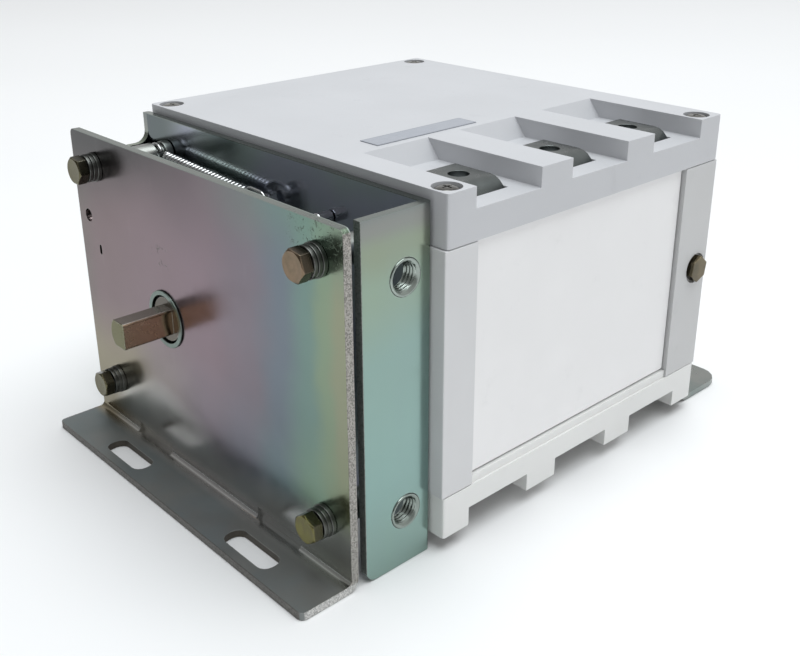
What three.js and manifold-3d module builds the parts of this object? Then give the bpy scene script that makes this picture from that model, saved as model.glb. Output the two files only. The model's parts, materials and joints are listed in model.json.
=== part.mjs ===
// Hand-driven three-pole rotary isolating switch with a sheet-metal mechanism frame.
// Millimetres. +X points to the terminal side, +Y to the rear, +Z up.
// The origin is at the middle of the footprint, on the mounting plane.
import * as THREE from 'three';
import { mergeVertices } from 'three/addons/utils/BufferGeometryUtils.js';
import Module from 'manifold-3d';

const wasm = await Module();
wasm.setup();

// ---- driving dimensions ----
const GAP = 0.3;                       // clearance between neighbouring pieces
const CASE = { x: 89.1, front: -66, back: 91.4, bottom: 6, top: 134 };
const WALL = 3.5;                      // moulded wall
const SKIN = 4;                        // top and bottom plates of the covers
const COVER_TOP_Z = 115.4;             // joint between top cover and middle walls
const COVER_BOTTOM_Z = 22.5;           // joint between bottom cover and middle walls
const COVER_SETBACK = 0.8;             // covers sit this far behind the middle front wall
const COLUMN = { width: 14, front: 15.4, rear: 21.5 };
const POLES = [-36.2, 12.4, 61];       // pole centres along Y
const SHAFT = { x: -25, z: 66 };       // axis of the main shaft, parallel to Y
const MID_Z = (CASE.bottom + CASE.top) / 2;
const SHEET = 3;                       // channel, plate and foot thickness
const PANEL = { left: -89, right: 83.4 };            // width of channel and front plate
const WEB_FRONT = CASE.front - GAP - SHEET;          // front face of the channel's web
const FLANGE_FRONT = -96.3;            // front edges of the channel's side flanges
const PLATE_FRONT = -102.8;            // front face of the front plate
const PLATE_BACK = PLATE_FRONT + SHEET;
const END_Y = 124.4;                   // both feet end this far from the origin
const BOLT_X = 70.4;
const BOLT_Z = [23.2, 117.4];
const SLOT = { x: [-42.6, 43.6], length: 26.8, width: 9, corner: 3.8 };
const RECESS = { half: 16, left: 34, slope: 5.7, depth: 7.4 };
const TERMINAL = { half: 8.5, thick: 3, left: 55.5, right: 80, bend: 7.5, hole: 3.8 };
const BLADE = { reach: 38, half: 8, thick: 3.2, hub: 13 };
const SQUARE = 12;                     // drive section of the shaft inside the case
const WHEEL = { radius: 28.5, notch: 6.3, y0: -77.5, y1: -72.5 };
const LEVER = { foot: [14, 36], top: [3, 114], y0: -81.5, y1: -78.5 };
const ROLLER = { radius: 6, angle: THREE.MathUtils.degToRad(15) };
const TONGUE_END = -123.6;             // front end of the shaft's drive tongue
const SEAT = 2.3;                      // depth that the roller drops into a notch
const SPRING_Y = -75;
const SIDE = { inner: 84.3, outer: 87.3, inset: 0.8 };      // side panels, between the columns
const SILL = { inner: 84.3, outer: 88.3, rise: 3.2 };       // ledge under each side panel
const BARRIER = { reach: 81, half: 1.2, bore: 10 };
const CARRIER = { radius: 20, half: 17 };
const SELF_TAP = { core: 2.7, shank: 2.4, head: 4.75, sunk: 2.7, sink: 5.2, grip: 5.5 };
const BOLT = { flats: 10, head: 4.2, shank: 2.9, end: -90, turns: [17, 34, 51, -9] };
const WASHER = { bore: 3.2, flat: 3.2, flatRadius: 5.9, spring: 1.8, springRadius: 5.6 };
const POST = { radius: 5, bore: 3.2, tapped: -88, groove: 3.4, groove0: -73, groove1: -77 };
const STUD = { x: 36, z: 114.9, radius: 2.5, end: -76 };
const CHANNEL = { top: 131, lowTop: 118.5, sweep: 5, bend: 1.5, bore: 12 };
const PLATE = { top: 130, corner: 2.5, bore: 11, hole: 3.4, slotY: -115.9 };
const FOOT = { half: 85, top: 52, corner: 9, slotY: 112, fillet: 2 };

// ---- helpers ----
// A closed geometry becomes a solid with merged corners and outward faces.
function solid(geometry) {
  const bare = geometry.clone();
  bare.deleteAttribute('normal');
  bare.deleteAttribute('uv');
  const merged = mergeVertices(bare, 1e-4);
  const points = merged.attributes.position.array;
  const triangles = [];
  let volume = 0;
  for (let i = 0; i < merged.index.count; i += 3) {
    const [a, b, c] = [0, 1, 2].map((k) => merged.index.getX(i + k));
    if (a === b || b === c || a === c) continue;
    triangles.push(a, b, c);
    const [p, q, r] = [a, b, c].map((k) => new THREE.Vector3().fromArray(points, 3 * k));
    volume += p.dot(q.cross(r));
  }
  if (volume < 0) triangles.reverse();
  return new wasm.Manifold(new wasm.Mesh({
    numProp: 3,
    vertProperties: new Float32Array(points),
    triVerts: new Uint32Array(triangles),
  }));
}

const join = (first, ...others) => others.reduce((sum, part) => sum.add(part), first);
const cut = (first, ...tools) => tools.reduce((rest, part) => rest.subtract(part), first);

function box(x0, x1, y0, y1, z0, z1) {
  const geometry = new THREE.BoxGeometry(x1 - x0, y1 - y0, z1 - z0);
  return solid(geometry.translate((x0 + x1) / 2, (y0 + y1) / 2, (z0 + z1) / 2));
}

// An outline is extruded along one axis. Its own two axes are X and Y, X and Z, or Y and Z.
const BASES = {
  x: [[0, 1, 0], [0, 0, 1], [1, 0, 0]],
  y: [[1, 0, 0], [0, 0, 1], [0, -1, 0]],
  z: [[1, 0, 0], [0, 1, 0], [0, 0, 1]],
};

function extrude(shape, axis, low, high, curveSegments = 6) {
  const geometry = new THREE.ExtrudeGeometry(shape, { depth: high - low, bevelEnabled: false, curveSegments });
  const [u, v, w] = BASES[axis].map((row) => new THREE.Vector3(...row));
  geometry.applyMatrix4(new THREE.Matrix4().makeBasis(u, v, w));
  const start = axis === 'y' ? high : low;
  return solid(geometry.translate(...['x', 'y', 'z'].map((name) => (name === axis ? start : 0))));
}

const polygon = (points) => new THREE.Shape(points.map(([u, v]) => new THREE.Vector2(u, v)));

// Points of an arc, for use in an outline. Angles are in degrees.
function arc(u, v, radius, from, to, steps) {
  return Array.from({ length: steps + 1 }, (_, i) => {
    const angle = THREE.MathUtils.degToRad(from + ((to - from) * i) / steps);
    return [u + radius * Math.cos(angle), v + radius * Math.sin(angle)];
  });
}

function roundedRectangle(u0, u1, v0, v1, radius, steps = 4) {
  return polygon([
    ...arc(u1 - radius, v1 - radius, radius, 0, 90, steps),
    ...arc(u0 + radius, v1 - radius, radius, 90, 180, steps),
    ...arc(u0 + radius, v0 + radius, radius, 180, 270, steps),
    ...arc(u1 - radius, v0 + radius, radius, 270, 360, steps),
  ]);
}

// A turned solid: the profile is a list of [radius, height] along the axis.
function turned(profile, axis, segments = 20) {
  const points = profile.map(([radius, height]) => new THREE.Vector2(radius, height));
  const geometry = new THREE.LatheGeometry(points, segments);
  if (axis === 'z') geometry.rotateX(Math.PI / 2);
  if (axis === 'x') geometry.rotateZ(-Math.PI / 2);
  return solid(geometry);
}

// A round bar through (u, v), in the plane across its axis.
function bar(axis, u, v, radius, low, high, segments = 24) {
  const shape = turned([[0, low], [radius, low], [radius, high], [0, high]], axis, segments);
  return placed(shape, axis, u, v);
}

function placed(shape, axis, u, v) {
  return shape.translate({ x: [0, u, v], y: [u, 0, v], z: [u, v, 0] }[axis]);
}

const hexagon = (u, v, acrossFlats, turn = 0) => polygon(
  arc(u, v, acrossFlats / Math.sqrt(3), turn, turn + 300, 5));

// ---- materials ----
const finish = (color, roughness, metalness) => () => (
  new THREE.MeshStandardMaterial({ color, roughness, metalness }));
const FINISH = {
  cover: finish(0xd8dde3, 0.45, 0),
  wall: finish(0xb9bbbd, 0.5, 0),
  panel: finish(0xd9d7d6, 0.45, 0),
  barrier: finish(0x6a5a48, 0.6, 0),
  label: finish(0xb8babc, 0.55, 0),
  zinc: finish(0x857c80, 0.32, 1),
  zincGreen: finish(0x8fa7a0, 0.35, 1),
  bolt: finish(0x7c7257, 0.35, 1),
  steel: finish(0x6a5f57, 0.3, 1),
  bright: finish(0xd5d6d8, 0.2, 1),
  terminal: finish(0x5b605e, 0.4, 1),
  copper: finish(0xb87346, 0.35, 1),
  carrier: finish(0x8a3a2c, 0.55, 0),
  bearing: finish(0xb9a15a, 0.4, 1),
  foot: finish(0x80827f, 0.45, 1),
};

const group = new THREE.Group();

function piece(name, shape, look) {
  const { vertProperties, triVerts } = shape.getMesh();
  const geometry = new THREE.BufferGeometry();
  geometry.setAttribute('position', new THREE.BufferAttribute(new Float32Array(vertProperties), 3));
  geometry.setIndex(new THREE.BufferAttribute(new Uint32Array(triVerts), 1));
  geometry.computeVertexNormals();
  const mesh = new THREE.Mesh(geometry, FINISH[look]());
  mesh.name = name;
  group.add(mesh);
}

// ---- case ----
// Screw places at the four corners: in front and at the rear, left and right.
const SCREW_X = 82.4;
const SCREW_Y = [CASE.front + 7, CASE.back - 8];
const CORNERS = SCREW_Y.flatMap((y) => [-SCREW_X, SCREW_X].map((x) => [x, y]));

// Heights measured inwards from a cover's outer face: side is 1 for the top, -1 for the bottom.
const inward = (side, depth) => (side > 0 ? CASE.top - depth : CASE.bottom + depth);

function layer(side, depth0, depth1, make) {
  const [low, high] = [inward(side, depth0), inward(side, depth1)].sort((a, b) => a - b);
  return make(low, high);
}

function cover(side, rim) {
  const front = CASE.front + COVER_SETBACK;
  const shell = layer(side, 0, rim, (low, high) => (
    extrude(roundedRectangle(-CASE.x, CASE.x, front, CASE.back, 1.2, 2), 'z', low, high)));
  const inside = layer(side, SKIN, rim + 1, (low, high) => join(
    box(WALL - CASE.x, CASE.x - WALL, CASE.front + COLUMN.front, CASE.back - COLUMN.rear, low, high),
    box(-CASE.x + COLUMN.width, CASE.x - COLUMN.width, front + WALL, CASE.back - WALL, low, high)));
  let body = cut(shell, inside);
  for (const y of POLES) {
    body = join(body, layer(side, 1, RECESS.depth + WALL, (low, high) => (
      box(RECESS.left - WALL, CASE.x - 0.5, y - RECESS.half - WALL, y + RECESS.half + WALL, low, high))));
  }
  for (const y of POLES) {
    const outer = inward(side, -1);
    const floor = inward(side, RECESS.depth);
    const wedge = polygon([
      [RECESS.left - 0.8, outer], [CASE.x + 1, outer], [CASE.x + 1, floor], [RECESS.left + RECESS.slope, floor],
    ]);
    const [slitLeft, slitRight] = [TERMINAL.right - TERMINAL.bend - 1, TERMINAL.right + 0.4];
    const slitHalf = TERMINAL.half + 0.4;
    const slit = layer(side, RECESS.depth - 1, RECESS.depth + WALL + 1, (low, high) => (
      box(slitLeft, slitRight, y - slitHalf, y + slitHalf, low, high)));
    body = cut(body, extrude(wedge, 'y', y - RECESS.half, y + RECESS.half), slit);
  }
  for (const [x, y] of CORNERS) {
    body = cut(body,
      layer(side, -1, rim + 1, (low, high) => bar('z', x, y, SELF_TAP.core, low, high, 16)),
      layer(side, -1, SELF_TAP.sunk + 0.2, (low, high) => bar('z', x, y, SELF_TAP.sink, low, high, 24)));
  }
  return body;
}

function bottomCover() {
  const rim = COVER_BOTTOM_Z - CASE.bottom;
  let body = cover(-1, rim);
  // A low sill under each side panel stands up from the rim, a little behind its face.
  for (const side of [-1, 1]) {
    const [x0, x1] = [side * SILL.inner, side * SILL.outer].sort((a, b) => a - b);
    const [y0, y1] = [CASE.front + COLUMN.front + GAP, CASE.back - COLUMN.rear - GAP];
    body = join(body, box(x0, x1, y0, y1, COVER_BOTTOM_Z - 2, COVER_BOTTOM_Z + SILL.rise));
  }
  return body;
}

// A middle wall with a column at each end; depth is the column's, from the outer face inwards.
function endWall(outer, inner, panelInner) {
  const [x, w] = [CASE.x, COLUMN.width];
  const outline = polygon([
    [-x, outer], [x, outer], [x, inner], [x - w, inner], [x - w, panelInner], [w - x, panelInner],
    [w - x, inner], [-x, inner],
  ]);
  let wall = extrude(outline, 'z', COVER_BOTTOM_Z + GAP, COVER_TOP_Z - GAP);
  for (const [cx, cy] of CORNERS) {
    const reach = 9;
    wall = cut(wall,
      bar('z', cx, cy, SELF_TAP.core, COVER_TOP_Z - reach, COVER_TOP_Z + 1, 16),
      bar('z', cx, cy, SELF_TAP.core, COVER_BOTTOM_Z - 1, COVER_BOTTOM_Z + reach, 16));
  }
  return wall;
}

const BEARING_RADIUS = 14;
const SIDE_BOLT = { y: 84.1, z: 69.3, sunk: 1.8, head: 3.8 };

function frontWall() {
  const wall = endWall(CASE.front, CASE.front + COLUMN.front, CASE.front + SKIN);
  return cut(wall, bar('y', SHAFT.x, SHAFT.z, BEARING_RADIUS + GAP, CASE.front - 1, CASE.front + 6, 32));
}

function rearWall() {
  let wall = endWall(CASE.back, CASE.back - COLUMN.rear, CASE.back - 6);
  wall = cut(wall, bar('y', SHAFT.x, SHAFT.z, 9 + GAP, CASE.back - 7, CASE.back - 2, 32));
  for (const side of [-1, 1]) {
    const [hole0, hole1] = [side * 74, side * (CASE.x + 1)].sort((a, b) => a - b);
    const [sink0, sink1] = [side * (CASE.x - SIDE_BOLT.sunk), side * (CASE.x + 1)].sort((a, b) => a - b);
    wall = cut(wall,
      bar('x', SIDE_BOLT.y, SIDE_BOLT.z, 3.2, hole0, hole1, 16),
      bar('x', SIDE_BOLT.y, SIDE_BOLT.z, 6.6, sink0, sink1, 24),
      bar('y', side * FOOT_SCREW.x, FOOT_SCREW.z, 2.7, CASE.back - 5, CASE.back + 1, 16));
  }
  return wall;
}

function sidePanel(side) {
  const [x0, x1] = [side * SIDE.inner, side * SIDE.outer].sort((a, b) => a - b);
  return box(x0, x1, CASE.front + COLUMN.front + SIDE.inset, CASE.back - COLUMN.rear - SIDE.inset,
    COVER_BOTTOM_Z + SILL.rise + SIDE.inset, COVER_TOP_Z - GAP);
}

function phaseBarrier(y) {
  const { reach, half, bore } = BARRIER;
  const board = box(-reach, reach, y - half, y + half, CASE.bottom + SKIN + GAP, CASE.top - SKIN - GAP);
  return cut(board, bar('y', SHAFT.x, SHAFT.z, bore, y - half - 1, y + half + 1, 24));
}

// ---- fasteners ----
// Pan-head screw standing on its shank: height 0 is under the head, the head is above.
function coverScrew(side, x, y) {
  const rim = side > 0 ? CASE.top - COVER_TOP_Z : COVER_BOTTOM_Z - CASE.bottom;
  const length = rim + SELF_TAP.grip;
  const { shank, head, sunk } = SELF_TAP;
  const profile = [[0, -length], [shank, -length], [shank, 0], [head, 0], [head, 1.1], [4.2, 1.9], [2.6, 2.5],
    [0, sunk]];
  let screw = turned(profile, 'z', 16);
  for (const [a, b] of [[3, 0.55], [0.55, 3]]) screw = cut(screw, box(-a, a, -b, b, 1.1, 3));
  if (side < 0) screw = screw.rotate([180, 0, 0]);
  return screw.translate([x, y, inward(side, SELF_TAP.sunk)]);
}

// Hexagon-headed bolt along Y; its head has a chamfered front face.
function plateBolt(x, z, turn) {
  const seat = PLATE_FRONT - 0.1 - WASHER.flat - WASHER.spring - 0.1;
  const front = seat - BOLT.head;
  const [inner, outer] = [BOLT.flats / 2, BOLT.flats / 2 + 1.1];
  const head = extrude(hexagon(x, z, BOLT.flats, turn), 'y', front, seat);
  const profile = [[0, front - 1], [inner, front - 1], [outer, front + 1.3], [outer, seat + 1], [0, seat + 1]];
  const cone = turned(profile, 'y', 24);
  const chamfered = head.intersect(placed(cone, 'y', x, z));
  return join(chamfered, bar('y', x, z, BOLT.shank, seat - 1, BOLT.end, 16));
}

// Two flat washers under a spring washer.
function plateWasher(x, z) {
  const { bore, flatRadius, springRadius } = WASHER;
  const face = PLATE_FRONT - 0.1;
  const middle = face - WASHER.flat;
  const front = middle - WASHER.spring;
  const ring = turned([[bore, face], [flatRadius, face], [flatRadius, middle], [springRadius, middle],
    [springRadius, front], [bore, front], [bore, face]], 'y', 20);
  return placed(ring, 'y', x, z);
}

// A turned post between web and plate, tapped at its front end; a groove holds the spring's loop.
function standoffPost(x, z, grooved) {
  const [rear, front] = [WEB_FRONT - GAP, PLATE_BACK + GAP];
  const { radius, bore, tapped, groove, groove0, groove1 } = POST;
  const waist = grooved ? [[radius, groove0], [groove, groove0], [groove, groove1], [radius, groove1]] : [];
  const profile = [
    [0, rear], [radius, rear], ...waist, [radius, front], [bore, front], [bore, tapped], [0, tapped],
  ];
  return placed(turned(profile, 'y', 20), 'y', x, z);
}

const NUT = { y: -78, z: [21.4, 108.4], outer: 6.5, bore: 4.7 };

function pressNut(z) {
  const outer = PANEL.right + 0.4;
  const back = 77;
  const shoulder = PANEL.right - SHEET - 0.1;
  const profile = [
    [NUT.bore, back], [7.4, back], [7.4, shoulder], [NUT.outer, shoulder], [NUT.outer, outer],
    [NUT.bore + 0.6, outer], [NUT.bore, outer - 0.6], [NUT.bore, back],
  ];
  return placed(turned(profile, 'x', 20), 'x', NUT.y, z);
}

function sideBolt(side) {
  const seat = CASE.x - SIDE_BOLT.sunk + 0.1;
  const head = extrude(hexagon(SIDE_BOLT.y, SIDE_BOLT.z, 10, 20), 'x', seat, seat + SIDE_BOLT.head);
  const bolt = join(head, bar('x', SIDE_BOLT.y, SIDE_BOLT.z, 2.9, 77, seat + 1, 16));
  return side > 0 ? bolt : bolt.mirror([1, 0, 0]);
}

const FOOT_SCREW = { x: 60, z: 34 };

function footScrew(side) {
  const seat = CASE.back + GAP + SHEET + 0.1;
  const { shank, head } = SELF_TAP;
  const profile = [[0, seat - 8], [shank, seat - 8], [shank, seat], [head, seat], [head - 0.15, seat + 1.6],
    [3, seat + 2.8], [0, seat + 3]];
  const [x, z, top] = [side * FOOT_SCREW.x, FOOT_SCREW.z, seat + 3.2];
  let screw = placed(turned(profile, 'y', 20), 'y', x, z);
  for (const [a, b] of [[3, 0.6], [0.6, 3]]) {
    screw = cut(screw, box(x - a, x + a, top - 1.8, top, z - b, z + b));
  }
  return screw;
}

// ---- terminals with fixed contact jaws ----
// The pad's heights are counted from the case's middle, the jaw's from the shaft axis.
function terminal(side, y) {
  const pad = (height) => MID_Z + side * height;
  const jaw = (height) => SHAFT.z + side * height;
  const top = CASE.top - MID_Z - RECESS.depth + GAP + TERMINAL.thick;
  const bendX = TERMINAL.right - TERMINAL.bend;
  const bend = (radius, from, to) => arc(bendX, 0, radius, from, to, 5)
    .map(([u, v]) => [u, pad(top - TERMINAL.bend + v)]);
  const outline = polygon([
    [TERMINAL.left, pad(top)],
    ...bend(TERMINAL.bend, 90, 0),
    [TERMINAL.right, jaw(42)],
    [SHAFT.x + BLADE.half, jaw(42)],
    [SHAFT.x + BLADE.half, jaw(30)],
    [SHAFT.x - BLADE.half, jaw(30)],
    [SHAFT.x - BLADE.half, jaw(45)],
    [TERMINAL.right - TERMINAL.thick, jaw(45)],
    ...bend(TERMINAL.bend - TERMINAL.thick, 0, 90),
    [TERMINAL.left, pad(top - TERMINAL.thick)],
  ]);
  const strip = extrude(outline, 'y', y - TERMINAL.half, y + TERMINAL.half);
  const [slot0, slot1] = [jaw(29), jaw(39.3)].sort((a, b) => a - b);
  const [hole0, hole1] = [pad(top - TERMINAL.thick - 1), pad(top + 1)].sort((a, b) => a - b);
  return cut(strip,
    box(SHAFT.x - 9, SHAFT.x + 9, y - BLADE.thick / 2 - GAP, y + BLADE.thick / 2 + GAP, slot0, slot1),
    bar('z', 65.5, y, TERMINAL.hole, hole0, hole1, 24));
}

// ---- rotor ----
const squareAt = (half, y0, y1) => box(SHAFT.x - half, SHAFT.x + half, y0, y1, SHAFT.z - half, SHAFT.z + half);

function mainShaft() {
  const { x, z } = SHAFT;
  const [right, half, corner] = [4.6, 5.3, 0.8];
  const tongue = extrude(polygon([
    [x + right - corner, z - half], [x + right, z - half + corner], [x + right, z + half - corner],
    [x + right - corner, z + half], ...arc(x + 1.9, z, 7.1, 132, 228, 6),
  ]), 'y', TONGUE_END, PLATE_FRONT + 1);
  return join(tongue,
    bar('y', x, z, 9, PLATE_FRONT, -58, 32),
    squareAt(SQUARE / 2, -59, 82),
    bar('y', x, z, 5, 81, CASE.back - 2.5, 20));
}

function movingContact(y) {
  const { x, z } = SHAFT;
  const half = BLADE.thick / 2;
  return cut(
    join(box(x - BLADE.reach, x + BLADE.reach, y - half, y + half, z - BLADE.half, z + BLADE.half),
      bar('y', x, z, BLADE.hub, y - half, y + half, 24)),
    squareAt(SQUARE / 2 + GAP, y - 3, y + 3));
}

function contactCarrier(y) {
  const { x, z } = SHAFT;
  const half = BLADE.thick / 2 + GAP;
  const slot = BLADE.half + GAP;
  return cut(bar('y', x, z, CARRIER.radius, y - CARRIER.half, y + CARRIER.half, 28),
    squareAt(SQUARE / 2 + GAP, y - CARRIER.half - 1, y + CARRIER.half + 1),
    box(x - CARRIER.radius - 1, x + CARRIER.radius + 1, y - half, y + half, z - slot, z + slot),
    bar('y', x, z, BLADE.hub + GAP, y - half, y + half, 24));
}

function ringBearing(bore, body, lip, y0, y1, lipY) {
  const profile = [[bore, y0], [body, y0], [body, lipY], [lip, lipY], [lip, y1], [bore, y1], [bore, y0]];
  return placed(turned(profile, 'y', 28), 'y', SHAFT.x, SHAFT.z);
}

// ---- sheet metal ----
function mechanismChannel() {
  const { left, right } = PANEL;
  const rear = CASE.front - GAP;
  const { top, lowTop, sweep, bend } = CHANNEL;
  const plan = polygon([
    ...arc(right - bend, rear - bend, bend, 90, 0, 4),
    [right, FLANGE_FRONT], [right - SHEET, FLANGE_FRONT], [right - SHEET, rear - SHEET],
    [left + SHEET, rear - SHEET], [left + SHEET, FLANGE_FRONT], [left, FLANGE_FRONT],
    ...arc(left + bend, rear - bend, bend, 180, 90, 4),
  ]);
  // The left flange is lower than the web and rises to it in a hollow curve.
  const lowered = polygon([
    [FLANGE_FRONT - 1, lowTop], [rear - SHEET - sweep, lowTop],
    ...arc(rear - SHEET - sweep, lowTop + sweep, sweep, 270, 360, 5),
    [rear - SHEET, top + 1], [FLANGE_FRONT - 1, top + 1],
  ]);
  const corner = polygon([
    [FLANGE_FRONT - 1, -1], [FLANGE_FRONT + 5, -1], ...arc(FLANGE_FRONT + 5, 5, 5, 270, 180, 5),
    [FLANGE_FRONT - 1, 5],
  ]);
  let channel = cut(extrude(plan, 'z', 0, top),
    extrude(lowered, 'x', left - 1, left + SHEET + 2),
    extrude(corner, 'x', left - 1, right + 1),
    bar('y', SHAFT.x, SHAFT.z, CHANNEL.bore, WEB_FRONT - 1, CASE.front, 32));
  for (const z of NUT.z) {
    channel = cut(channel,
      bar('x', NUT.y, z, NUT.outer + 0.2, right - 4, right + 1, 24),
      bar('x', NUT.y, z, 5, left - 1, left + 4, 24));
  }
  return channel;
}

// An L bracket seen from its side: v is up, u runs away from the upright leg's outer face.
function footProfile(reach, height, fillet) {
  const outer = fillet + SHEET;
  return [
    [reach, 0], [reach, SHEET], ...arc(outer, outer, fillet, 270, 180, 5),
    [SHEET, height], [0, height], ...arc(outer, outer, outer, 180, 270, 5),
  ];
}

function slots(y) {
  const [halfX, halfY] = [SLOT.length / 2, SLOT.width / 2];
  return SLOT.x.map((x) => extrude(
    roundedRectangle(x - halfX, x + halfX, y - halfY, y + halfY, SLOT.corner), 'z', -1, SHEET + 1));
}

function frontPlate() {
  const { left, right } = PANEL;
  const reach = END_Y + PLATE_BACK;
  const { top, corner } = PLATE;
  const side = footProfile(reach, top, FOOT.fillet).map(([u, v]) => [PLATE_BACK - u, v]);
  let plate = cut(extrude(polygon(side), 'x', left, right), ...slots(PLATE.slotY));
  // Rounded outer corners of the plate and of its flange, as seen from the front and from above.
  const upright = roundedRectangle(left, right, -5, top, corner);
  const flange = roundedRectangle(left, right, -END_Y, PLATE_BACK + 10, corner);
  plate = plate.intersect(extrude(upright, 'y', -END_Y - 1, PLATE_BACK + 1));
  plate = plate.intersect(extrude(flange, 'z', -1, top + 1));
  // The bend's inner radius is relieved beside each slot.
  for (const x of SLOT.x) {
    plate = cut(plate, box(x - 14, x + 12, PLATE_FRONT - 4, PLATE_FRONT + 0.7, SHEET + 0.01, SHEET + 4.5));
  }
  for (const x of [-BOLT_X, BOLT_X]) {
    for (const z of BOLT_Z) plate = cut(plate, bar('y', x, z, PLATE.hole, PLATE_FRONT - 1, PLATE_BACK + 1, 24));
  }
  return cut(plate,
    bar('y', SHAFT.x, SHAFT.z, PLATE.bore, PLATE_FRONT - 1, PLATE_BACK + 1, 32),
    bar('y', -81.2, 94.6, 2.8, PLATE_FRONT - 1, PLATE_BACK + 1, 20),
    extrude(polygon(obroundUpright(-74, 81.3, 1.9, 4.4)), 'y', PLATE_FRONT - 1, PLATE_BACK + 1));
}

// A narrow upright slot outline.
function obroundUpright(u, v, width, height) {
  const radius = width / 2;
  const offset = height / 2 - radius;
  return [...arc(u, v + offset, radius, 0, 180, 5), ...arc(u, v - offset, radius, 180, 360, 5)];
}

function rearFoot() {
  const { half, top, corner, slotY } = FOOT;
  const start = CASE.back + GAP;
  const side = footProfile(END_Y - start, top, FOOT.fillet).map(([u, v]) => [start + u, v]);
  let foot = cut(extrude(polygon(side), 'x', -half, half), ...slots(slotY));
  foot = foot.intersect(extrude(roundedRectangle(-half, half, start - 20, END_Y, corner), 'z', -1, top + 1));
  for (const x of [-FOOT_SCREW.x, FOOT_SCREW.x]) {
    foot = cut(foot, bar('y', x, FOOT_SCREW.z, 2.7, start - 1, start + SHEET + 1, 16));
  }
  return foot;
}

// ---- detent ----
// The roller rides on the wheel's rim at rest; two notches seat it at 0 and at 90 degrees.
const ROLLER_REACH = WHEEL.radius + ROLLER.radius + GAP;
const ROLLER_AT = [
  SHAFT.x + ROLLER_REACH * Math.cos(ROLLER.angle),
  SHAFT.z + ROLLER_REACH * Math.sin(ROLLER.angle),
];

function detentWheel() {
  const { x, z } = SHAFT;
  let wheel = join(
    bar('y', x, z, WHEEL.radius, WHEEL.y0, WHEEL.y1, 48),
    bar('y', x, z, 14, WHEEL.y0 - 5, WHEEL.y1 + 1.5, 32));
  for (const turn of [0, Math.PI / 2]) {
    const angle = ROLLER.angle + turn;
    const reach = ROLLER_REACH - SEAT;
    const [u, v] = [x + reach * Math.cos(angle), z + reach * Math.sin(angle)];
    wheel = cut(wheel, bar('y', u, v, WHEEL.notch, WHEEL.y0 - 1, WHEEL.y1 + 1, 32));
  }
  return cut(wheel, bar('y', x, z, 9 + GAP, WHEEL.y0 - 6, WHEEL.y1 + 3, 32));
}

// A flat link with round ends between two points of the XZ plane.
function link([x0, z0], [x1, z1], radius, y0, y1) {
  const heading = THREE.MathUtils.radToDeg(Math.atan2(z1 - z0, x1 - x0));
  const outline = polygon([
    ...arc(x1, z1, radius, heading - 90, heading + 90, 8),
    ...arc(x0, z0, radius, heading + 90, heading + 270, 8),
  ]);
  return extrude(outline, 'y', y0, y1);
}

function rivet([x, z], radius, head, end) {
  const start = LEVER.y0 + 1;
  const profile = [[0, start], [radius, start], [radius, end - 0.8], [head, end - 0.8], [head, end], [0, end]];
  return placed(turned(profile, 'y', 16), 'y', x, z);
}

function detentLever() {
  const blank = join(
    link(LEVER.foot, ROLLER_AT, 6, LEVER.y0, LEVER.y1),
    link(ROLLER_AT, LEVER.top, 4.5, LEVER.y0, LEVER.y1));
  const [fx, fz] = LEVER.foot;
  return join(cut(blank, bar('y', fx, fz, 3 + GAP, LEVER.y0 - 1, LEVER.y1 + 1, 20)),
    rivet(ROLLER_AT, 2, 3, -71.5),
    rivet(LEVER.top, 1.5, 2.4, -72.2));
}

function detentRoller() {
  const [y0, y1] = [-77.6, -72.7];
  const [bore, outer] = [2 + GAP, ROLLER.radius];
  const ring = turned([[bore, y0], [outer, y0], [outer, y1], [bore, y1], [bore, y0]], 'y', 28);
  return placed(ring, 'y', ...ROLLER_AT);
}

function pivotPin() {
  const rear = WEB_FRONT - GAP;
  const pin = turned([[0, rear], [5, rear], [5, LEVER.y1 + GAP], [3, LEVER.y1 + GAP], [3, LEVER.y0 - GAP],
    [5, LEVER.y0 - GAP], [5, LEVER.y0 - 2], [0, LEVER.y0 - 2]], 'y', 20);
  return placed(pin, 'y', ...LEVER.foot);
}

function stopStud() {
  const rear = WEB_FRONT - GAP;
  const { x, z, radius, end } = STUD;
  const stud = turned([[0, rear], [radius, rear], [radius, end + 0.5], [radius - 0.5, end], [0, end]], 'y', 20);
  return placed(stud, 'y', x, z);
}

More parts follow.
